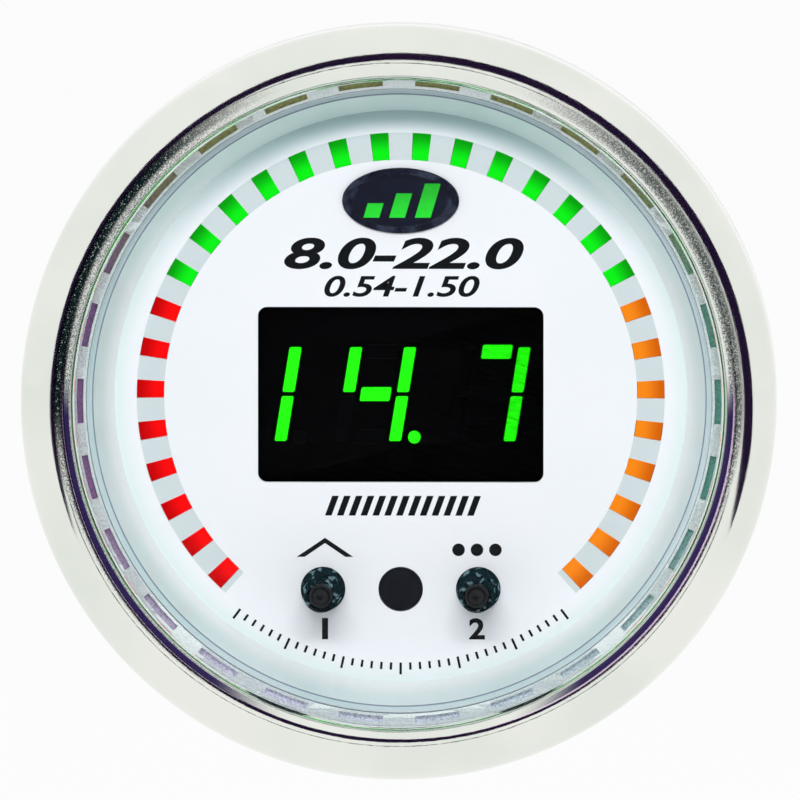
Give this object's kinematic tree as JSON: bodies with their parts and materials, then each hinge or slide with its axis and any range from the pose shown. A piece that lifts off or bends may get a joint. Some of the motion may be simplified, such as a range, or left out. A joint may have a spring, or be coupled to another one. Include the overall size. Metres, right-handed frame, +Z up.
{
  "type": "air fuel ratio gauge",
  "caption": "Round dashboard gauge with a ring of coloured lights, a digital display, push buttons, a rear wiring socket and a clamp bracket.",
  "frame": {"origin": "on the gauge's axis, in the plane of the panel's front, where the bezel's rear edge rests", "axes": "+Y runs along the gauge's axis from the face to the rear, so the face looks along -Y; +Z is up, with the display upright; +X is to the right as the driver sees the face"},
  "size_m": [0.0572, 0.057, 0.0572],
  "materials": {
    "bezel": "satin, fine grained",
    "seal_rubber": "matt",
    "lens": "clear, polished",
    "spacer": "smooth, pale",
    "reflector": "white, softly glossy",
    "dial": "white, printed",
    "badge": "glossy, near black",
    "dark_window": "smooth, black",
    "filter": "smoked",
    "light_block": "matt black",
    "green_light": "lit green",
    "red_light": "lit red",
    "amber_light": "lit amber",
    "display_face": "matt black",
    "lit_segment": "lit green",
    "unlit_segment": "dark",
    "led_body": "ivory",
    "button": "satin, near black",
    "actuator": "matt grey",
    "switch_case": "plain",
    "circuit_board": "green resist",
    "chip": "matt black",
    "header": "matt black",
    "capacitor": "bright",
    "spacer_tube": "natural nylon",
    "screw": "zinc plated",
    "case": "fine matt black",
    "socket": "matt black",
    "terminal": "bright",
    "stud": "zinc plated",
    "bracket": "zinc plated",
    "thumb_nut": "plain brass"
  },
  "bodies": {
    "gauge": {"bezel": "bezel", "lens_seal": "seal_rubber", "lens": "lens", "lens_spacer": "spacer", "reflector_ring": "reflector", "dial": "dial", "badge_window": "badge", "sensor_window": "dark_window", "display_filter": "filter", "light_block": "light_block", "green_diffusers": "green_light", "red_diffusers": "red_light", "amber_diffusers": "amber_light", "display_module": "display_face", "lit_segments": "lit_segment", "unlit_segments": "unlit_segment", "ring_leds": "led_body", "badge_leds": "led_body", "light_sensor": "dark_window", "tact_switches": "switch_case", "display_board": "circuit_board", "display_driver": "chip", "board_header": "header", "control_board": "circuit_board", "controller_chip": "chip", "regulator": "chip", "capacitors": "capacitor", "board_spacers": "spacer_tube", "board_screws": "screw", "case_cup": "case", "socket_shroud": "socket", "socket_terminals": "terminal", "socket_gasket": "seal_rubber", "mounting_studs": "stud", "stud_nuts": "stud"},
    "button_a": {"button_a": "button", "actuator_a": "actuator"},
    "button_b": {"button_b": "button", "actuator_b": "actuator"},
    "bracket": {"mounting_bracket": "bracket", "lock_washers": "stud"},
    "nut_a": {"thumb_nut_a": "thumb_nut"},
    "nut_b": {"thumb_nut_b": "thumb_nut"}
  },
  "joints": [
    {"name": "button_a_press", "type": "slide", "parent": "gauge", "child": "button_a", "axis": [0, 1, 0], "range_m": [0, 0.00035], "stiffness_N_per_m": 400},
    {"name": "button_b_press", "type": "slide", "parent": "gauge", "child": "button_b", "axis": [0, 1, 0], "range_m": [0, 0.00035], "stiffness_N_per_m": 400},
    {"name": "bracket_slide", "type": "slide", "parent": "gauge", "child": "bracket", "axis": [0, 1, 0], "range_m": [-0.002, 0.006]},
    {"name": "nut_a_turn", "type": "hinge", "parent": "bracket", "child": "nut_a", "pos_m": [-0.0145, 0.0387, 0], "axis": [0, 1, 0], "range_deg": [-1030, 3090]},
    {"name": "nut_b_turn", "type": "hinge", "parent": "bracket", "child": "nut_b", "pos_m": [0.0145, 0.0387, 0], "axis": [0, 1, 0], "range_deg": [-1030, 3090]}
  ],
  "couplings": [
    {"joint": "nut_a_turn", "follows": "bracket_slide", "rad_per_m": 8976},
    {"joint": "nut_b_turn", "follows": "bracket_slide", "rad_per_m": 8976}
  ]
}
